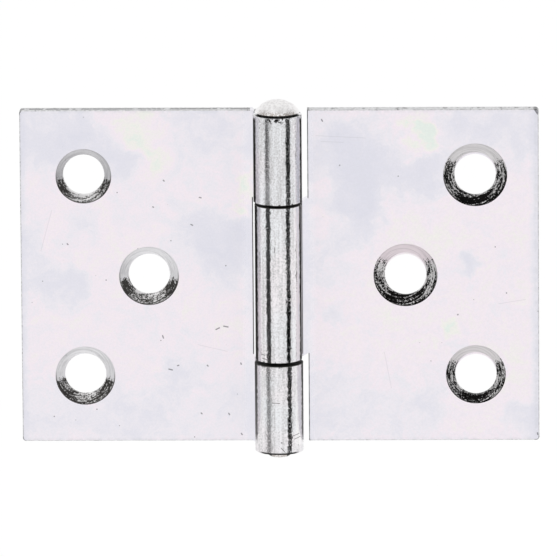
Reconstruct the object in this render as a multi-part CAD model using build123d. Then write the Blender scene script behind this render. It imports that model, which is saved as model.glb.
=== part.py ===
from build123d import *
import math
import os

# A broad butt hinge of rolled sheet, opened flat, with the leaves 180 degrees apart. Millimetres.
# The origin lies on the pin's axis at half the leaves' height. +Z runs up the pin to its head, +X points
# to the leaf with the single centre knuckle, and the countersunk side, where the barrel stands proud,
# faces -Y. The back of each leaf is level with the back of its own knuckles.

# Leaves
open_width = 60.0
leaf_height = 39.3
width_stray = 0.16  # the left leaf is this much narrower than half the open width, and the right one wider
sheet = 1.5
corner_radius = 0.4
edge_break = 0.12  # rounding of the sheared edges

# Barrel
pin_diameter = 2.3
running_clearance = 0.05  # radial, between the pin and the centre knuckle
loose_roll = 0.12  # the outer knuckles were rolled this much wider than the centre one
seam_gap = 0.12  # between the rolled end and the leaf's front face
slot_clearance = 0.22  # from the centre knuckle to the edge of the slot in the leaf beside it
notch_clearance = 0.6  # from the outer knuckles to the edges of the two notches beside them
slot_share = 0.475  # height of the slot for the centre knuckle, as a share of the leaf's height
tongue_gap = 0.13  # at each end of the slot, before the tongues were rolled
# The tongues did not roll up quite square: each knuckle sits a little below its tongue's root.
upper_drop = 0.2
centre_drop = 0.36
lower_drop = 0.58
foot_drop = 0.75  # the lower knuckle's lower end
knuckle_break = 0.06  # chamfer of the knuckle ends

# Screw holes
hole_diameter = 4.8
outer_hole_inset = 7.35  # from the leaf's free edge
outer_hole_spacing = 23.7
inner_hole_inset = 15.15  # from the leaf's free edge
inner_hole_stray = 0.31  # both inner holes were punched this much to the left
# The 90 degree countersinks ran to different depths, given as shares of the sheet.
shallow_cut = 0.55
usual_cut = 0.71
deep_cut = 0.87
hole_drop = 0.16  # the right leaf's holes were punched this much lower than the left leaf's
sink_rise = 0.21  # and their countersinks lie this much above the middles of the holes

# Rivet head and peened end
head_diameter = 5.2
head_seat_diameter = 4.4
head_rim_height = 0.28
head_height = 1.68
peen_diameter = 3.3
peen_tip_diameter = 2.1
peen_height = 0.7

# Worked out from the above
left_width = open_width / 2 - width_stray
right_width = open_width / 2 + width_stray
centre_bore = pin_diameter / 2 + running_clearance
outer_bore = centre_bore + loose_roll
slot_edge = centre_bore + sheet + slot_clearance
notch_edge = outer_bore + sheet + notch_clearance
lean_end = (head_diameter / 2 + outer_bore + sheet) / 2  # where a tongue reaches its knuckle's height
slot_half = slot_share * leaf_height / 2
tongue_half = slot_half - tongue_gap
barrel_top = leaf_height / 2 - upper_drop
barrel_foot = -leaf_height / 2 - foot_drop


def plate(inner_edge, free_edge, bore):
    """The flat of a right leaf, from the tongues' root to the free edge, with its edges rounded."""
    width = free_edge - inner_edge
    outline = Plane.XZ * Pos(inner_edge + width / 2, 0) * Rectangle(width, leaf_height)
    flat = Pos(0, bore + sheet, 0) * extrude(outline, sheet)
    corners = flat.edges().filter_by(Axis.Y).group_by(Axis.X)[-1]
    flat = fillet(corners, corner_radius)
    sheared = [edge for edge in flat.edges() if abs(edge.tangent_at(0.5).Y) < 0.5]
    return fillet(sheared, edge_break)


def knuckle(root_edge, bore, low, high, low_drop, high_drop):
    """A right leaf's tongue, from low to high at its root, and the knuckle that it is rolled into."""
    outside = bore + sheet
    root = root_edge + 2 * edge_break  # the tongue runs this far into the plate, past its rounded edge
    foot = low - low_drop
    top = high - high_drop
    upper_side = [(root, high), (root_edge, high), (lean_end, top), (0, top)]
    lower_side = [(0, foot), (lean_end, foot), (root_edge, low), (root, low)]
    outline = make_face(Plane.XZ * Polyline(*upper_side, *lower_side, close=True))
    tongue = Pos(0, outside, 0) * extrude(outline, sheet)
    section = Polyline(
        (bore, foot),
        (outside - knuckle_break, foot),
        (outside, foot + knuckle_break),
        (outside, top - knuckle_break),
        (outside - knuckle_break, top),
        (bore, top),
        close=True,
    )
    seam_angle = math.degrees(math.asin((bore - seam_gap) / outside))
    roll = revolve(make_face(Plane.YZ * section), Axis.Z, 270 + seam_angle)
    return tongue + roll


def screw_hole(bore, x, z, cut, rise=0.0):
    """What the drill and the 90 degree countersink remove from a leaf at x, z."""
    radius = hole_diameter / 2
    depth = cut * sheet
    over = sheet
    drill = Plane.XZ.offset(-bore - sheet - over) * Pos(x, z) * extrude(Circle(radius), sheet + 2 * over)
    sink = Cone(radius + depth + over, radius, depth + over)
    sink = Pos(x, bore + (depth - over) / 2, z + rise) * Rot(-90, 0, 0) * sink
    return drill + sink


def outer_knuckle_leaf():
    """The left leaf, with the upper and lower knuckles. It is made as a right leaf and mirrored."""
    leaf = plate(slot_edge, left_width, outer_bore)
    leaf += knuckle(slot_edge, outer_bore, slot_half, leaf_height / 2, upper_drop, upper_drop)
    leaf += knuckle(slot_edge, outer_bore, -leaf_height / 2, -slot_half, foot_drop, lower_drop)
    outer_x = left_width - outer_hole_inset
    leaf -= screw_hole(outer_bore, outer_x, outer_hole_spacing / 2, shallow_cut)
    inner_x = left_width - inner_hole_inset + inner_hole_stray
    leaf -= screw_hole(outer_bore, inner_x, 0, usual_cut)
    leaf -= screw_hole(outer_bore, outer_x, -outer_hole_spacing / 2, usual_cut)
    return mirror(leaf, Plane.YZ)


def centre_knuckle_leaf():
    """The right leaf, with the centre knuckle."""
    leaf = plate(notch_edge, right_width, centre_bore)
    leaf += knuckle(notch_edge, centre_bore, -tongue_half, tongue_half, centre_drop, centre_drop)
    outer_x = right_width - outer_hole_inset
    inner_x = right_width - inner_hole_inset - inner_hole_stray
    leaf -= screw_hole(centre_bore, outer_x, outer_hole_spacing / 2 - hole_drop, deep_cut, sink_rise)
    leaf -= screw_hole(centre_bore, inner_x, -hole_drop, deep_cut, sink_rise)
    leaf -= screw_hole(centre_bore, outer_x, -outer_hole_spacing / 2 - hole_drop, usual_cut, sink_rise)
    return leaf


def hinge_pin():
    """The rivet: a shank through all knuckles, a domed head on the upper one and a peened lower end."""
    shank = pin_diameter / 2
    rim = (head_diameter / 2, barrel_top + head_rim_height)
    apex = (0, barrel_top + head_height)
    tip = (peen_tip_diameter / 2, barrel_foot - peen_height)
    flare = (peen_diameter / 2, barrel_foot)
    dome_height = head_height - head_rim_height
    dome_radius = (rim[0] ** 2 + dome_height**2) / (2 * dome_height)
    bulge = (0.3 * tip[0] + 0.7 * flare[0], (tip[1] + flare[1]) / 2)
    outline = RadiusArc(rim, apex, -dome_radius)
    outline += Polyline(apex, (0, tip[1]), tip)
    outline += ThreePointArc(tip, bulge, flare)
    outline += Polyline(
        flare, (shank, barrel_foot), (shank, barrel_top), (head_seat_diameter / 2, barrel_top), rim
    )
    return revolve(Plane.XZ * make_face(outline), Axis.Z, 360)


os.makedirs("parts", exist_ok=True)
export_step(outer_knuckle_leaf(), "parts/outer_knuckle_leaf.step")
export_step(centre_knuckle_leaf(), "parts/centre_knuckle_leaf.step")
export_step(hinge_pin(), "parts/hinge_pin.step")
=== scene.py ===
import bpy
import math
from mathutils import Matrix, Vector

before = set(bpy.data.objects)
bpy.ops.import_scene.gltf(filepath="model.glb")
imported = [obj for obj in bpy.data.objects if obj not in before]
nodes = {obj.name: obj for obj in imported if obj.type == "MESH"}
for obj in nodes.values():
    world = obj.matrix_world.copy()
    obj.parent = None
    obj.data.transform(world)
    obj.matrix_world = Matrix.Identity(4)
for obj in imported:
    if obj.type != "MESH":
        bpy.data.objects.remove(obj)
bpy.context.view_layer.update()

MM = 1000.0  # millimetres in a metre

# Sizes repeated from the part, in millimetres
SHEET = 1.5
LEFT_BORE, RIGHT_BORE = 1.32, 1.2
HALF_WIDTH, HALF_HEIGHT = 30.0, 19.65
UPPER_GAP, LOWER_GAP = 8.99, -9.74  # heights of the two joints of the barrel
BARREL_TOP, BARREL_FOOT = 19.45, -20.4
HEAD_RIM = 19.73
HOLE_RADIUS = 2.4
TONGUE_START, TONGUE_END = 2.6, 3.6  # where the tongues lie, from the pin's axis outwards
NOTCH_EDGE = 3.45  # about where the notches of the right leaf end
SHEET_MIDDLE = 2.02  # about how far the middle of the sheet lies behind the pin's axis
JOINT_HEIGHT = 15.0  # both joints of the barrel lie nearer the middle than this, and its two ends do not

# Each countersink: its x, its height and its radius, the tone of its bare metal, and for the painted shade
# in its lower part the height at which it starts, as a share of the radius, and how much of the bottom and
# of the sides it covers
LEFT_HOLES = {
    "upper": (-22.49, 11.85, 3.225, (0.68, 0.675, 0.695), -0.14, 0.49, 0.7),
    "inner": (-15.0, 0.0, 3.465, (0.92, 0.915, 0.935), -0.14, 0.52, 0.7),
    "lower": (-22.49, -11.85, 3.465, (0.92, 0.915, 0.935), -0.16, 0.49, 0.68),
}
RIGHT_HOLES = {
    "upper": (22.81, 11.9, 3.705, (0.86, 0.84, 0.85), 0.5, 0.72, 0.55),
    "inner": (14.7, 0.05, 3.705, (0.92, 0.83, 0.87), 0.55, 0.76, 0.44),
    "lower": (22.81, -11.8, 3.465, (0.89, 0.86, 0.87), 0.52, 0.7, 0.54),
}
LEFT_SINK_SHADE, RIGHT_SINK_SHADE = 0.06, 0.007  # how light the painted shade in the countersinks is
RING_SCALE, RING_WOBBLE = 5.5, 2.2  # how close the cutter's rings lie, and how far they are from round
# The pattern that the painted shade follows: its shares of rings and sparkle, a shift, and how soft its
# limit is
RING_SHARE, SPARKLE_SHARE, PATTERN_SHIFT, PATTERN_SOFTNESS = 1.4, 1.2, -0.8, 0.13

# The film on the leaves, from thin to thick: lavender, pink, yellow and green
FILM_COLOURS = [
    (0.0, (0.762, 0.758, 0.834)),
    (0.28, (0.805, 0.793, 0.857)),
    (0.44, (0.855, 0.83, 0.88)),
    (0.6, (0.909, 0.836, 0.89)),
    (0.8, (0.885, 0.873, 0.835)),
    (1.0, (0.805, 0.865, 0.815)),
]
LEFT_FILM, RIGHT_FILM = 0.56, 0.59  # its thickness before the waves and the clouds
FILM_WAVES = ((0.12, 0.3), (0.5, 0.5), (2.0, 0.18))  # waves to a millimetre, and the change of thickness
FILM_DRIFT = 7.0  # how far the waves and the clouds are pulled out of shape, in millimetres
# Clouds in the film: x, z and radius in millimetres, and the change of thickness
CLOUDS = [
    (-27.0, 16.2, 5.4, -0.42), (-22.3, 16.6, 3.6, -0.32), (-18.8, 14.0, 3.4, -0.4), (-8.6, 17.2, 7.0, -0.24),
    (-16.2, 18.1, 3.0, 0.26), (-14.9, 16.2, 2.6, 0.27), (-15.0, 14.2, 2.0, 0.22), (-3.6, 10.8, 1.7, 0.56),
    (-3.5, 8.4, 1.7, 0.56), (-4.9, 6.0, 2.4, -0.26), (-4.7, 3.0, 2.0, -0.16), (-8.3, 4.6, 4.4, -0.34),
    (-6.8, 0.9, 3.6, -0.28), (-11.7, 5.4, 2.6, -0.2), (-27.2, -0.6, 3.6, -0.28), (-24.2, -1.2, 3.0, -0.3),
    (-28.3, 3.8, 2.6, -0.26), (-22.4, 5.6, 2.6, -0.18), (-26.0, -16.6, 4.6, -0.22),
    (-16.5, -16.6, 6.0, -0.28), (-11.3, -12.0, 3.0, -0.26), (-5.5, -16.0, 5.4, -0.22),
    (10.0, 12.6, 6.0, -0.44), (6.5, 16.0, 5.0, -0.3), (16.8, 11.6, 4.2, -0.4), (9.3, 9.4, 4.0, -0.28),
    (9.4, 5.6, 3.6, -0.38), (16.9, 16.2, 2.4, 0.75), (22.0, 17.4, 4.6, -0.32), (27.6, 16.6, 4.4, -0.34),
    (21.4, 1.6, 1.7, -0.42), (19.9, -6.8, 1.6, 0.32), (18.1, 4.2, 2.0, 0.14), (6.0, 2.0, 3.4, -0.24),
    (6.4, -5.0, 2.4, -0.2), (6.0, -16.0, 6.4, -0.24), (13.2, -17.2, 5.0, -0.18), (17.3, -14.6, 3.2, -0.22),
    (28.6, -17.6, 3.6, -0.34),
]

# Hairline scratches on the leaves, from x, z to x, z
LEAF_SCRATCHES = [
    ((4.4, 16.6), (10.2, 16.3)), ((5.0, 15.9), (7.6, 15.8)), ((-27.5, 3.0), (-26.2, 7.8)),
    ((-9.4, -8.2), (-6.0, -9.0)), ((25.5, -3.4), (28.6, -2.9)), ((12.2, -9.1), (13.0, -13.4)),
]
# Nicks on the leaves, short and dark
LEAF_NICKS = [
    ((-6.4, -6.0), (-5.9, -6.1)), ((-7.3, -6.4), (-6.9, -6.2)), ((-13.5, -7.1), (-13.4, -7.4)),
    ((-8.35, -10.65), (-8.25, -10.75)), ((-11.8, -10.7), (-11.65, -10.65)), ((-4.45, -10.4), (-4.4, -10.55)),
    ((-12.8, -11.1), (-12.4, -11.2)), ((-5.9, -16.4), (-5.8, -16.55)), ((-9.1, -16.35), (-9.0, -16.45)),
    ((-4.45, -18.8), (-4.35, -18.95)), ((-9.1, 9.3), (-8.9, 9.25)), ((-10.1, 6.1), (-9.9, 6.0)),
    ((-14.5, 8.2), (-14.4, 8.15)), ((-13.25, 11.35), (-13.15, 11.25)), ((-24.45, 3.85), (-24.35, 3.75)),
    ((5.1, 18.5), (5.2, 18.3)), ((29.72, 19.54), (30.04, 19.06)), ((29.77, 19.58), (30.08, 19.12)),
    ((29.93, -18.8), (29.97, -19.0)),
]
# Short scratches round the knuckles
BARREL_SCRATCHES = [
    ((-1.1, -14.2), (0.1, -14.25)), ((1.5, -18.25), (2.3, -18.1)), ((1.75, -18.65), (2.4, -18.5)),
    ((0.22, -19.55), (0.7, -20.1)), ((0.24, -18.9), (0.36, -18.9)), ((0.24, -18.98), (0.36, -18.98)),
    ((-0.4, 3.6), (-0.35, 4.2)),
    ((-1.9, -9.05), (-1.3, -9.15)), ((-2.0, -8.6), (-1.6, -8.65)),
]
NICK_WIDTH, SCRATCH_WIDTH = 0.1, 0.06
# Round specks: places to a millimetre, radius in millimetres, and the share of the places that has one
LEAF_SPECKS = ((0.3, 0.15, 0.3), (0.8, 0.1, 0.15))
BARREL_SPECKS = (0.5, 0.1, 0.4)
# The painted shade in the crease where the centre knuckle's tongue meets its roll: how far it reaches aside
# and up
CREASE_EDGE, CREASE_END = 2.84, 9.4
ROLL_REACH = 4.6  # the rolling tool smoothed the leaves this near the pin's axis
# How strongly the marks and the painted shade cover the zinc
RIM_STRENGTH, NICK_STRENGTH, SCRATCH_STRENGTH, CREASE_SHADE_STRENGTH = 0.22, 0.8, 0.22, 0.93
BARREL_SCRATCH_STRENGTH = 0.75
TORN_STRENGTH, EDGE_NICK_STRENGTH = 0.9, 0.6
# Depth of the bumps in each metal, in millimetres
LEAF_BUMPS, BARREL_BUMPS, SINK_BUMPS = 0.0015, 0.024, 0.012
EDGE_BUMPS, JOINT_BUMPS, PIN_BUMPS = 0.02, 0.02, 0.03

# Colours of the leaves
GRAIN_GREY = (0.55, 0.55, 0.58)
RIM_GREY = (0.55, 0.57, 0.6)
NICK_BLACK = (0.1, 0.1, 0.11)
SCRATCH_GREY = (0.4, 0.39, 0.42)
CREASE_SHADE = (0.05, 0.048, 0.046)
SINK_BARE = (0.76, 0.75, 0.75)
# The edges' grey, darker than the flats, partly paints the dark reflection along them
EDGE_DARK, EDGE_BRIGHT = (0.52, 0.52, 0.53), (0.73, 0.73, 0.74)
# Dark of the torn line and the nicks, also used for painted shade at the notch edges
EDGE_TORN_AND_SHADE = (0.08, 0.08, 0.085)
# Colours of the barrel and its joints
COOL_ZINC, PINK_ZINC = (0.855, 0.868, 0.892), (0.905, 0.868, 0.892)
WORN_ZINC = (0.54, 0.535, 0.54)
# Painted highlight down the knuckles' sides
HIGHLIGHT_ZINC = (1.0, 0.99, 0.995)
# Grime, and painted shade down the knuckles' sides and along the foot
GRIME_AND_SHADE = (0.008, 0.0075, 0.007)
OIL, DUST = (0.012, 0.011, 0.01), (0.05, 0.047, 0.043)
# Colours of the pin
PIN_DARK, PIN_BRIGHT = (0.76, 0.745, 0.745), (0.94, 0.93, 0.93)
# Painted highlight on the sides of the pin's head
HEAD_SIDE_HIGHLIGHT = (0.99, 0.98, 0.98)
RIM_BROWN = (0.26, 0.21, 0.17)
FOOT_BLACK = (0.06, 0.057, 0.055)
# Roughness of the knuckles on their left and right sides
OUTER_ROUGHNESS = (0.17, 0.08)
CENTRE_ROUGHNESS = (0.06, 0.06)

# Sockets of a mix node that works on colours
MIX_SHARE, MIX_A, MIX_B, MIX_RESULT = 0, 6, 7, 2
# Order of the metals that a leaf has before those of its countersinks
FLAT, BARREL, EDGE, JOINT = range(4)
# Limits that tell a leaf's faces apart: parts of a unit normal, and slack in millimetres
FLAT_NORMAL = 0.98  # a face looks straight to the front or back above this
END_NORMAL = 0.5  # and up or down above this
SIDE_NORMAL = 0.6  # and to the right above this
LEVEL_NORMAL = 0.3  # and neither up nor down below this
BORE_SLACK, FACE_SLACK, ROLL_SLACK = 0.02, 0.01, 0.001

# Studio, in metres and degrees
FLOOR_SIZE, FLOOR_HEIGHT = 30, -1.0
FLAG_DISTANCE = 1.2
# Dark cards low on both sides: their azimuths, their elevations and their grey
FLAGS = {
    "flag_left": ((-61, -37), (-19, -7), 0.05),
    "flag_right": ((41, 63.5), (-18.5, -7.5), 0.005),
}
HOOP_RADIUS, HOOP_HALF_ANGLE = 1.5, 13
# Strips of a hoop over the hinge: where each starts and ends, and its grey
HOOP = {
    "hoop_right": (-2, 28, 0.3),
    "hoop_top_right": (28, 62, 0.35),
    "hoop_top": (62, 118, 0.65),
    "hoop_top_left": (118, 152, 0.35),
    "hoop_left": (152, 182, 0.3),
}
LAMP_PLACE = Vector((-0.7, -1.0, 1.4))
LAMP_POWER, LAMP_SIZE = 4.0, 1.0

# Camera, fitted to the photograph's edges and holes
AZIMUTH, ELEVATION, ROLL = 1.078, 13.0, -0.414
DISTANCE = 1.5
LENS, SENSOR = 837.9, 36
AIM_RIGHT, AIM_UP = 0.000018, -0.000046


def add(tree, kind, inputs=None, **settings):
    """A new node with its settings, its inputs either linked from a socket or set to a value."""
    node = tree.nodes.new("ShaderNode" + kind)
    for name, value in settings.items():
        setattr(node, name, value)
    for name, value in (inputs or {}).items():
        if isinstance(value, bpy.types.NodeSocket):
            tree.links.new(value, node.inputs[name])
        else:
            node.inputs[name].default_value = value
    return node


def math_node(tree, operation, a, b=0.0, clamp=False):
    """One sum, product or other step on two numbers."""
    return add(tree, "Math", {0: a, 1: b}, operation=operation, use_clamp=clamp).outputs[0]


def vector_math(tree, operation, a, b=(0, 0, 0)):
    """One step on two vectors, or on a vector and a number for SCALE."""
    inputs = {0: a, "Scale": b} if operation == "SCALE" else {0: a, 1: b}
    node = add(tree, "VectorMath", inputs, operation=operation)
    return node.outputs["Value" if operation in ("LENGTH", "DISTANCE", "DOT_PRODUCT") else "Vector"]


def fade(tree, value, start, end, low=0.0, high=1.0):
    """A smooth step of value from low at start to high at end."""
    inputs = {"Value": value, "From Min": start, "From Max": end, "To Min": low, "To Max": high}
    return add(tree, "MapRange", inputs, interpolation_type="SMOOTHSTEP").outputs["Result"]


def noise(tree, place, scale, detail=2.0, roughness=0.5, output="Fac"):
    """Smooth random values from 0 to 1 at a place."""
    inputs = {"Vector": place, "Scale": scale, "Detail": detail, "Roughness": roughness}
    return add(tree, "TexNoise", inputs).outputs[output]


def ramp(tree, value, stops):
    """Colours read off along a list of places and colours."""
    node = add(tree, "ValToRGB", {"Fac": value})
    elements = node.color_ramp.elements
    while len(elements) < len(stops):
        elements.new(1.0)
    for element, (place, colour) in zip(elements, stops):
        element.position = place
        element.color = (*colour, 1.0)
    return node.outputs["Color"]


def mix_colour(tree, share, a, b):
    """Two colours mixed by a share. Each colour is a socket or three numbers."""
    node = add(tree, "Mix", {MIX_SHARE: share}, data_type="RGBA", clamp_result=True)
    for socket, colour in ((MIX_A, a), (MIX_B, b)):
        if isinstance(colour, bpy.types.NodeSocket):
            tree.links.new(colour, node.inputs[socket])
        else:
            node.inputs[socket].default_value = (*colour, 1.0)
    return node.outputs[MIX_RESULT]


def total(tree, values):
    """The sum of a list of numbers."""
    result = values[0]
    for value in values[1:]:
        result = math_node(tree, "ADD", result, value)
    return result


def product(tree, values):
    """The product of a list of numbers."""
    result = values[0]
    for value in values[1:]:
        result = math_node(tree, "MULTIPLY", result, value)
    return result


def largest(tree, values):
    """The largest of a list of numbers."""
    result = values[0]
    for value in values[1:]:
        result = math_node(tree, "MAXIMUM", result, value)
    return result


def stroke(tree, flat, start, end, width):
    """1 along a straight line between two places on the flat, 0 beside it."""
    first = Vector((start[0], 0, start[1]))
    run = Vector((end[0], 0, end[1])) - first
    there = vector_math(tree, "SUBTRACT", flat, first)
    share = vector_math(tree, "DOT_PRODUCT", there, run)
    share = math_node(tree, "MULTIPLY", share, 1 / run.length_squared, clamp=True)
    nearest = vector_math(tree, "SCALE", run, share)
    return fade(tree, vector_math(tree, "DISTANCE", there, nearest), width, 0.3 * width)


def strokes(tree, flat, lines, width):
    """All the strokes of a list."""
    return largest(tree, [stroke(tree, flat, start, end, width) for start, end in lines])


def specks(tree, place, scale, size, share):
    """Round specks of a radius, in a share of the places that the scale scatters."""
    cells = add(tree, "TexVoronoi", {"Vector": place, "Scale": scale})
    dots = fade(tree, cells.outputs["Distance"], size * scale, 0.5 * size * scale)
    chosen = add(tree, "SeparateColor", {"Color": cells.outputs["Color"]}).outputs["Red"]
    return math_node(tree, "MULTIPLY", dots, math_node(tree, "LESS_THAN", chosen, share))


def metal(name):
    """A new metal material: its node tree, its shader, and places on the piece in millimetres."""
    material = bpy.data.materials.new(name)
    material.use_nodes = True
    tree = material.node_tree
    shader = tree.nodes["Principled BSDF"]
    shader.inputs["Metallic"].default_value = 1.0
    object_place = add(tree, "TexCoord").outputs["Object"]
    place = vector_math(tree, "SCALE", object_place, MM)
    return material, tree, shader, place


def finish_metal(tree, shader, colour, roughness, height, depth):
    """Joins colour, roughness and a bump of this depth in millimetres to the shader."""
    bump = add(tree, "Bump", {"Height": height, "Strength": 1.0, "Distance": depth / MM})
    tree.links.new(colour, shader.inputs["Base Color"])
    tree.links.new(roughness, shader.inputs["Roughness"])
    tree.links.new(bump.outputs["Normal"], shader.inputs["Normal"])


def split(tree, place):
    """The three coordinates of a place."""
    outputs = add(tree, "SeparateXYZ", {"Vector": place}).outputs
    return outputs["X"], outputs["Y"], outputs["Z"]


def flatten(tree, place):
    """A place moved straight to the plane of the leaves."""
    return vector_math(tree, "MULTIPLY", place, (1, 0, 1))


def distance_from(tree, value, middle=0.0):
    """How far a number lies from a middle, on either side."""
    if middle:
        value = math_node(tree, "SUBTRACT", value, middle)
    return math_node(tree, "ABSOLUTE", value)


def film_thickness(tree, place):
    """The film on the leaves, in waves and clouds, and thinner at the free edges and beside the barrel."""
    across, _, _ = split(tree, place)
    beside = distance_from(tree, across)
    drift = vector_math(tree, "SUBTRACT", noise(tree, place, 0.3, 3.0, 0.55, "Color"), (0.5, 0.5, 0.5))
    wander = vector_math(tree, "ADD", place, vector_math(tree, "SCALE", drift, FILM_DRIFT))
    spread = flatten(tree, wander)
    layers = [fade(tree, across, -6.0, 6.0, LEFT_FILM, RIGHT_FILM)]
    for scale, amount in FILM_WAVES:
        wave = math_node(tree, "SUBTRACT", noise(tree, wander, scale), 0.5)
        layers.append(math_node(tree, "MULTIPLY", wave, amount))
    for x, z, radius, change in CLOUDS:
        away = vector_math(tree, "DISTANCE", spread, (x, 0, z))
        layers.append(fade(tree, away, 1.25 * radius, 0.0, 0.0, change))
    layers.append(fade(tree, beside, HALF_WIDTH - 1.2, HALF_WIDTH - 0.2, 0.0, -0.3))
    layers.append(fade(tree, beside, ROLL_REACH, ROLL_REACH - 1.4, 0.0, -0.22))
    return total(tree, layers)


def leaf_face():
    """Bright zinc on the flats under a thin coloured film, with light marks and painted shade in the crease
    by the centre knuckle.
    """
    material, tree, shader, place = metal("zinc_leaf_face")
    flat = flatten(tree, place)
    across, inward, up = split(tree, place)
    beside = distance_from(tree, across)
    above = distance_from(tree, up)
    tint = ramp(tree, film_thickness(tree, place), FILM_COLOURS)
    grain = noise(tree, place, 4.5, 3.0, 0.7)
    tint = mix_colour(tree, fade(tree, grain, 0.68, 0.3, 0.0, 0.12), tint, GRAIN_GREY)
    rim = largest(tree, [
        fade(tree, beside, HALF_WIDTH - 0.55, HALF_WIDTH - 0.2),
        fade(tree, above, HALF_HEIGHT - 0.5, HALF_HEIGHT - 0.15),
    ])
    rim = product(tree, [rim, fade(tree, noise(tree, flat, 1.3), 0.35, 0.6), RIM_STRENGTH])
    tint = mix_colour(tree, rim, tint, RIM_GREY)
    marks = [specks(tree, flat, *values) for values in LEAF_SPECKS]
    marks.append(strokes(tree, flat, LEAF_NICKS, NICK_WIDTH))
    tint = mix_colour(tree, product(tree, [largest(tree, marks), NICK_STRENGTH]), tint, NICK_BLACK)
    scratches = strokes(tree, flat, LEAF_SCRATCHES, SCRATCH_WIDTH)
    tint = mix_colour(tree, product(tree, [scratches, SCRATCH_STRENGTH]), tint, SCRATCH_GREY)
    # painted shade in the crease where the centre knuckle's tongue meets its roll
    crease_shade = product(tree, [
        fade(tree, beside, CREASE_EDGE, CREASE_EDGE - 0.1),
        fade(tree, above, CREASE_END, CREASE_END - 0.2),
        fade(tree, inward, SHEET_MIDDLE - 0.12, SHEET_MIDDLE - 0.42),
        CREASE_SHADE_STRENGTH,
    ])
    tint = mix_colour(tree, crease_shade, tint, CREASE_SHADE)
    dullness = fade(tree, beside, ROLL_REACH - 1.2, ROLL_REACH, 0.1, 0.4)
    roughness = math_node(tree, "ADD", dullness, fade(tree, grain, 0.3, 0.7, 0.0, 0.06))
    finish_metal(tree, shader, tint, roughness, grain, LEAF_BUMPS)
    return material


def painted_highlight(tree, across, up):
    """Where the knuckles are painted lighter as a highlight: down the right side, and a little low on the
    left side.
    """
    low_left = product(tree, [
        fade(tree, across, -1.5, -2.0),
        fade(tree, up, LOWER_GAP + 0.5, LOWER_GAP, 0.0, 0.3),
    ])
    return product(tree, [
        largest(tree, [fade(tree, across, 1.82, 2.1), low_left]),
        fade(tree, up, UPPER_GAP + 0.5, UPPER_GAP, 0.1, 0.95),
        fade(tree, up, LOWER_GAP - 0.3, LOWER_GAP + 0.3, 0.6, 1.0),
        fade(tree, up, BARREL_FOOT + 0.6, BARREL_FOOT + 1.2),
    ])


def painted_flank_shade(tree, place, streaks, dents, grain):
    """The dark line down each side of the barrel, where the roll meets the leaves, ragged and patchy:
    painted shade and painted dark reflection.
    """
    across, inward, up = split(tree, place)
    flank = total(tree, [inward, product(tree, [across, -0.045]), product(tree, [dents, 0.4])])
    upper_part = fade(tree, up, LOWER_GAP - 0.1, LOWER_GAP)
    lower_part = product(tree, [
        fade(tree, up, BARREL_FOOT + 0.8, BARREL_FOOT + 2.2),
        fade(tree, up, BARREL_FOOT + 0.8, LOWER_GAP - 0.26, 0.85, 0.96),
    ])
    return product(tree, [
        fade(tree, flank, -1.15, -0.85),
        fade(tree, inward, 1.7, 1.3),
        largest(tree, [fade(tree, inward, -0.2, -0.55), fade(tree, grain, 0.3, 0.7, 0.1, 0.4)]),
        fade(tree, streaks, 0.35, 0.5, 0.94, 1.0),
        fade(tree, up, BARREL_TOP - 0.15, BARREL_TOP - 0.5),
        largest(tree, [upper_part, lower_part]),
    ])


def barrel_grime_and_shade(tree, place, streaks, dents, grain):
    """Dark marks on the knuckles: blotches under the head and beside the joints, painted shadow along the
    foot, painted shade down the sides, specks and scratches.
    """
    across, _, up = split(tree, place)
    pits = noise(tree, place, 1.6, 3.0, 0.6)
    under_head = fade(tree, up, BARREL_TOP - 1.0, BARREL_TOP - 0.2)
    stains_and_shade = [product(tree, [under_head, fade(tree, pits, 0.55, 0.61)])]
    for gap in (UPPER_GAP, LOWER_GAP):
        at_gap = fade(tree, distance_from(tree, up, gap), 0.42, 0.2)
        stains_and_shade.append(product(tree, [at_gap, fade(tree, pits, 0.55, 0.62)]))
    # painted shadow along the foot of the barrel, over the peened end
    foot = fade(tree, up, BARREL_FOOT + 0.26, BARREL_FOOT + 0.14)
    stains_and_shade.append(product(tree, [foot, fade(tree, distance_from(tree, across), 2.4, 1.8)]))
    # painted shade and dark reflection down the sides
    stains_and_shade.append(painted_flank_shade(tree, place, streaks, dents, grain))
    stains_and_shade.append(specks(tree, place, *BARREL_SPECKS))
    scratches = strokes(tree, flatten(tree, place), BARREL_SCRATCHES, SCRATCH_WIDTH)
    stains_and_shade.append(product(tree, [scratches, BARREL_SCRATCH_STRENGTH]))
    return largest(tree, stains_and_shade)


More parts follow.
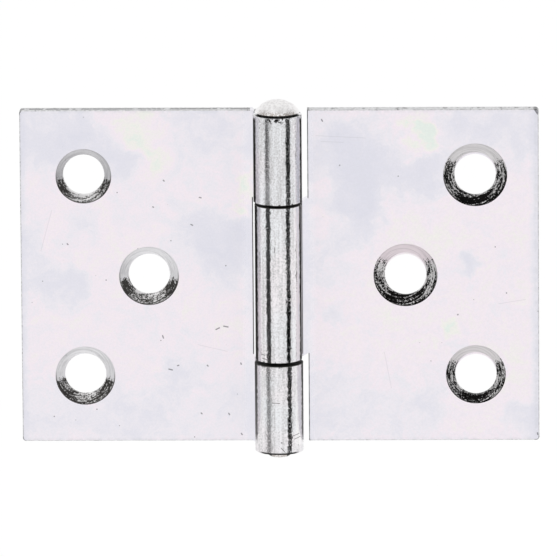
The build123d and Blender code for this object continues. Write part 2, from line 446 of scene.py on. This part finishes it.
def barrel(name, left_roughness, right_roughness):
    """Zinc on the rolled knuckles, with fine streaks along the roll, sides painted lighter as a highlight,
    and dark marks that are partly grime and partly painted shade.
    """
    material, tree, shader, place = metal("zinc_" + name)
    across, _, up = split(tree, place)
    along = vector_math(tree, "MULTIPLY", place, (2.6, 2.6, 0.12))
    streaks = noise(tree, along, 1.0, 3.0, 0.6)
    dents = noise(tree, place, 2.4)
    grain = noise(tree, place, 5.0, 3.0, 0.7)
    worn = product(tree, [
        fade(tree, up, UPPER_GAP - 0.2, UPPER_GAP + 0.2),
        fade(tree, distance_from(tree, across), 1.5, 1.0),
        -0.025,
    ])
    tone = total(tree, [product(tree, [streaks, 0.4]), product(tree, [grain, 0.6]), worn])
    film_shift = fade(tree, up, UPPER_GAP - 1.0, UPPER_GAP + 1.0, 0.06, -0.06)
    film = total(tree, [noise(tree, place, 0.16), film_shift])
    bright = mix_colour(tree, fade(tree, film, 0.4, 0.6), COOL_ZINC, PINK_ZINC)
    colour = mix_colour(tree, fade(tree, tone, 0.36, 0.6), WORN_ZINC, bright)
    # painted highlight on the knuckles' sides
    colour = mix_colour(tree, painted_highlight(tree, across, up), colour, HIGHLIGHT_ZINC)
    # grime, and painted shade down the sides and along the foot
    grime_and_shade = barrel_grime_and_shade(tree, place, streaks, dents, grain)
    colour = mix_colour(tree, grime_and_shade, colour, GRIME_AND_SHADE)
    tree.links.new(math_node(tree, "SUBTRACT", 1.0, grime_and_shade), shader.inputs["Metallic"])
    shader.inputs["Specular IOR Level"].default_value = 0.0
    dullness = fade(tree, across, -0.4, 0.4, left_roughness, right_roughness)
    roughness = math_node(tree, "ADD", dullness, fade(tree, streaks, 0.3, 0.7, 0.0, 0.06))
    bumps = total(tree, [dents, product(tree, [streaks, 0.2]), product(tree, [grain, 0.15])])
    finish_metal(tree, shader, colour, roughness, bumps, BARREL_BUMPS)
    return material


def countersink(name, hole, shade_grey):
    """A countersink with rings from the cutter, and painted shade between them below a height, with a
    painted dark line round its rim that is heavier at the bottom.
    """
    x, z, rim_radius, bright, start, bottom, sides = hole
    material, tree, shader, place = metal("zinc_countersink_" + name)
    around = flatten(tree, vector_math(tree, "SUBTRACT", place, (x, 0.0, z)))
    radius = vector_math(tree, "LENGTH", around)
    outward = vector_math(tree, "NORMALIZE", around)
    side, _, up = split(tree, outward)
    turns = math_node(tree, "MULTIPLY", radius, RING_SCALE)
    turns = add(tree, "CombineXYZ", {"X": turns, "Y": x, "Z": z}).outputs[0]
    wobble = vector_math(tree, "SCALE", outward, RING_WOBBLE)
    rings = noise(tree, vector_math(tree, "ADD", wobble, turns), 1.0, 2.0, 0.6)
    sparkle = noise(tree, place, 5.0, 2.0, 0.7)
    dull = tuple(0.82 * part for part in bright)
    colour = mix_colour(tree, fade(tree, rings, 0.35, 0.6), dull, bright)
    colour = mix_colour(tree, fade(tree, up, start + 0.1, start - 0.3), colour, SINK_BARE)

    cover = fade(tree, distance_from(tree, side), 0.4, 0.95, bottom, sides)
    cover = math_node(tree, "ADD", cover, fade(tree, radius, HOLE_RADIUS, HOLE_RADIUS + 0.4, -0.12, 0.02))
    ragged = math_node(tree, "ADD", up, product(tree, [sparkle, 0.5]))
    level = math_node(tree, "MULTIPLY", fade(tree, ragged, start + 0.35, start + 0.15), cover)
    pattern = total(tree, [
        product(tree, [rings, RING_SHARE]),
        product(tree, [sparkle, SPARKLE_SHARE]),
        PATTERN_SHIFT,
    ])
    over = math_node(tree, "SUBTRACT", level, pattern)
    # painted shade in the lower part of the countersink, broken up by the rings
    sink_shade = fade(tree, over, -PATTERN_SOFTNESS, PATTERN_SOFTNESS)
    # painted shade along the rim, heavier at the bottom
    edge = product(tree, [
        fade(tree, radius, rim_radius - 0.2, rim_radius - 0.06),
        fade(tree, up, 0.3, -0.3, 0.1, 0.85),
    ])
    colour = mix_colour(tree, largest(tree, [sink_shade, edge]), colour, (shade_grey, 0.95 * shade_grey, 0.9 * shade_grey))
    roughness = fade(tree, rings, 0.3, 0.7, 0.5, 0.4)
    finish_metal(tree, shader, colour, roughness, rings, SINK_BUMPS)
    return material


def sheared_edge():
    """The cut edges of the sheet, in a grey that partly paints the dark reflection along them, with a broken
    dark line where the shear let go, dark nicks, and painted shade at the notch edges beside the barrel.
    """
    material, tree, shader, place = metal("zinc_sheared_edge")
    across, inward, up = split(tree, place)
    along = vector_math(tree, "MULTIPLY", place, (1.5, 0.4, 1.5))
    breaks = noise(tree, along, 1.0, 3.0, 0.6)
    grain = noise(tree, place, 4.0, 2.0, 0.6)
    # a grey that partly paints the dark reflection along the edges
    colour = mix_colour(tree, fade(tree, grain, 0.35, 0.65), EDGE_DARK, EDGE_BRIGHT)
    # painted shade on the notch edges beside the barrel
    at_notch = fade(tree, distance_from(tree, across, NOTCH_EDGE), 0.3, 0.15)
    notch_shade = product(tree, [at_notch, fade(tree, breaks, 0.3, 0.6, 0.4, 0.9)])
    at_middle = fade(tree, distance_from(tree, inward, SHEET_MIDDLE), 0.45, 0.12)
    torn = math_node(tree, "ADD", breaks, fade(tree, across, -3.0, 3.0, 0.12, 0.0))
    line = product(tree, [at_middle, fade(tree, torn, 0.5, 0.64), TORN_STRENGTH])
    nicks = product(tree, [fade(tree, breaks, 0.6, 0.68), EDGE_NICK_STRENGTH])
    corner = product(tree, [
        fade(tree, distance_from(tree, across), HALF_WIDTH - 0.6, HALF_WIDTH - 0.25),
        fade(tree, distance_from(tree, up), HALF_HEIGHT - 0.65, HALF_HEIGHT - 0.3),
        fade(tree, breaks, 0.35, 0.5, 0.0, 0.85),
    ])
    colour = mix_colour(tree, largest(tree, [line, nicks, corner, notch_shade]), colour, EDGE_TORN_AND_SHADE)
    roughness = fade(tree, breaks, 0.3, 0.7, 0.45, 0.3)
    finish_metal(tree, shader, colour, roughness, breaks, EDGE_BUMPS)
    return material


def crevice():
    """Oil and dark dust in the joints of the barrel."""
    material, tree, shader, place = metal("dirty_joint")
    grain = noise(tree, place, 3.0, 3.0, 0.6)
    colour = mix_colour(tree, grain, OIL, DUST)
    roughness = fade(tree, grain, 0.3, 0.7, 0.5, 0.7)
    shader.inputs["Metallic"].default_value = 0.3
    finish_metal(tree, shader, colour, roughness, grain, JOINT_BUMPS)
    return material


def pin():
    """Satin zinc on the rivet, mottled, with a painted highlight on the head's sides, and darker brown in
    spots towards the head's rim.
    """
    material, tree, shader, place = metal("zinc_pin")
    across, _, up = split(tree, place)
    grain = noise(tree, place, 3.0, 4.0, 0.65)
    colour = mix_colour(tree, fade(tree, grain, 0.35, 0.62), PIN_DARK, PIN_BRIGHT)
    dots = noise(tree, place, 5.0, 2.0, 0.6)
    beside = distance_from(tree, across)
    # painted highlight on the head's sides
    colour = mix_colour(tree, fade(tree, beside, 1.7, 2.3, 0.0, 0.8), colour, HEAD_SIDE_HIGHLIGHT)
    rim = product(tree, [
        fade(tree, up, HEAD_RIM + 0.6, HEAD_RIM),
        fade(tree, beside, 2.4, 1.9),
        fade(tree, dots, 0.42, 0.56, 0.0, 0.75),
    ])
    colour = mix_colour(tree, rim, colour, RIM_BROWN)
    foot = product(tree, [math_node(tree, "LESS_THAN", up, 0.0), fade(tree, beside, 0.75, 0.95)])
    colour = mix_colour(tree, foot, colour, FOOT_BLACK)
    roughness = fade(tree, grain, 0.3, 0.7, 0.42, 0.55)
    finish_metal(tree, shader, colour, roughness, grain, PIN_BUMPS)
    return material


def leaf_region(centre, normal, bore):
    """Which region of a leaf a face belongs to, from its middle in millimetres and its normal."""
    from_axis = math.hypot(centre.x, centre.y)
    tongue = centre.y > bore and TONGUE_START < abs(centre.x) < TONGUE_END
    in_roll = from_axis < bore + SHEET
    knuckle_end = in_roll and abs(normal.z) > END_NORMAL and abs(centre.z) < JOINT_HEIGHT
    slot_wall = tongue and normal.x > SIDE_NORMAL and abs(normal.z) < LEVEL_NORMAL
    if from_axis < bore + BORE_SLACK or knuckle_end or slot_wall:
        return JOINT
    if abs(normal.y) > FLAT_NORMAL and centre.y > bore - FACE_SLACK:
        return FLAT
    if centre.y < bore - FACE_SLACK or from_axis < bore + SHEET - ROLL_SLACK:
        return BARREL
    if abs(normal.y) < FLAT_NORMAL and not (tongue and abs(normal.z) > LEVEL_NORMAL):
        return EDGE
    return FLAT


def dress_leaf(node, bore, holes, sink_shade, metals):
    """Gives each face of a leaf the metal of its region, or of the countersink that it lies in."""
    node.data.materials.clear()
    for material in metals:
        node.data.materials.append(material)
    for name, hole in holes.items():
        node.data.materials.append(countersink(node.name + "_" + name, hole, sink_shade))
    for face in node.data.polygons:
        centre = face.center * MM
        face.material_index = leaf_region(centre, face.normal, bore)
        for number, (x, z, radius, *_) in enumerate(holes.values()):
            inside = math.hypot(centre.x - x, centre.z - z) < radius - FACE_SLACK
            if inside and abs(face.normal.y) < FLAT_NORMAL:
                face.material_index = len(metals) + number


def dress_pin(node, bright, dirty):
    """Leaves the head and the peened end bright, and dirties the shank and the underside of the head."""
    node.data.materials.clear()
    node.data.materials.append(bright)
    node.data.materials.append(dirty)
    for face in node.data.polygons:
        face.material_index = int(BARREL_FOOT / MM < face.center.z < HEAD_RIM / MM)


def direction(azimuth, elevation):
    """Unit vector from the origin, with azimuth 0 towards the camera and elevation above the horizon."""
    a, e = math.radians(azimuth), math.radians(elevation)
    return Vector((math.sin(a) * math.cos(e), -math.cos(a) * math.cos(e), math.sin(e)))


def matt(name, value):
    """A matt material of one grey."""
    material = bpy.data.materials.new(name)
    material.use_nodes = True
    shader = material.node_tree.nodes["Principled BSDF"]
    shader.inputs["Base Color"].default_value = (value, value, value, 1.0)
    shader.inputs["Roughness"].default_value = 1.0
    shader.inputs["Specular IOR Level"].default_value = 0.0
    return material


def card(name, corners, value):
    """A flat studio card of one grey that only reflections see."""
    mesh = bpy.data.meshes.new(name)
    mesh.from_pydata([tuple(corner) for corner in corners], [], [range(len(corners))])
    obj = bpy.data.objects.new(name, mesh)
    bpy.context.collection.objects.link(obj)
    mesh.materials.append(matt(name, value))
    obj.visible_camera = False
    obj.visible_diffuse = False
    obj.visible_shadow = False


def flag(name, azimuths, elevations, value):
    """A card that fills a range of azimuth and elevation as seen from the hinge."""
    (a0, a1), (e0, e1) = azimuths, elevations
    places = ((a0, e0), (a1, e0), (a1, e1), (a0, e1))
    card(name, [direction(a, e) * FLAG_DISTANCE for a, e in places], value)


def hoop_strip(name, start, end, value):
    """A strip of a hoop over the hinge, from one side at 0 degrees over the top to the other side at 180."""
    over = Vector((0, -math.sin(math.radians(ELEVATION)), math.cos(math.radians(ELEVATION))))
    aside = Vector((0, over.z, -over.y)) * math.tan(math.radians(HOOP_HALF_ANGLE))
    corners = []
    for angle, edge in ((start, -aside), (end, -aside), (end, aside), (start, aside)):
        a = math.radians(angle)
        corners.append((Vector((1, 0, 0)) * math.cos(a) + over * math.sin(a) + edge) * HOOP_RADIUS)
    card(name, corners, value)


def soft_lamp():
    """One soft lamp, aimed at the hinge from the upper left."""
    lamp = bpy.data.lights.new("soft_lamp", "AREA")
    lamp.energy = LAMP_POWER
    lamp.size = LAMP_SIZE
    holder = bpy.data.objects.new("soft_lamp", lamp)
    bpy.context.collection.objects.link(holder)
    holder.location = LAMP_PLACE
    holder.rotation_euler = (-LAMP_PLACE).to_track_quat("-Z", "Y").to_euler()


def studio():
    """White floor and surroundings, dark cards that shape the reflections, and the lamp."""
    bpy.ops.mesh.primitive_plane_add(size=FLOOR_SIZE, location=(0, 0, FLOOR_HEIGHT))
    floor = bpy.context.object
    floor.name = "floor"
    floor.data.materials.append(matt("floor", 1.0))

    for name, values in FLAGS.items():
        flag(name, *values)
    for name, values in HOOP.items():
        hoop_strip(name, *values)

    world = bpy.data.worlds.new("studio")
    bpy.context.scene.world = world
    world.use_nodes = True
    world.node_tree.nodes["Background"].inputs["Color"].default_value = (1, 1, 1, 1)
    world.node_tree.nodes["Background"].inputs["Strength"].default_value = 1.0
    soft_lamp()


def camera():
    """The photograph's camera, as fitted."""
    back = direction(AZIMUTH, ELEVATION)
    level = Vector((math.cos(math.radians(AZIMUTH)), math.sin(math.radians(AZIMUTH)), 0))
    upright = back.cross(level)
    roll = math.radians(ROLL)
    right = math.cos(roll) * level + math.sin(roll) * upright
    up = math.cos(roll) * upright - math.sin(roll) * level
    data = bpy.data.cameras.new("camera")
    data.lens = LENS
    data.sensor_width = SENSOR
    obj = bpy.data.objects.new("camera", data)
    bpy.context.collection.objects.link(obj)
    place = back * DISTANCE + right * AIM_RIGHT + up * AIM_UP
    turn = Matrix((right, up, back)).transposed().to_4x4()
    obj.matrix_world = Matrix.Translation(place) @ turn
    bpy.context.scene.camera = obj


flat_metal = leaf_face()
edge_metal = sheared_edge()
dirty_metal = crevice()
left_metals = [flat_metal, barrel("outer_knuckles", *OUTER_ROUGHNESS), edge_metal, dirty_metal]
right_metals = [flat_metal, barrel("centre_knuckle", *CENTRE_ROUGHNESS), edge_metal, dirty_metal]
dress_leaf(nodes["outer_knuckle_leaf"], LEFT_BORE, LEFT_HOLES, LEFT_SINK_SHADE, left_metals)
dress_leaf(nodes["centre_knuckle_leaf"], RIGHT_BORE, RIGHT_HOLES, RIGHT_SINK_SHADE, right_metals)
dress_pin(nodes["hinge_pin"], pin(), dirty_metal)
studio()
camera()
bpy.context.scene.view_settings.view_transform = "Standard"
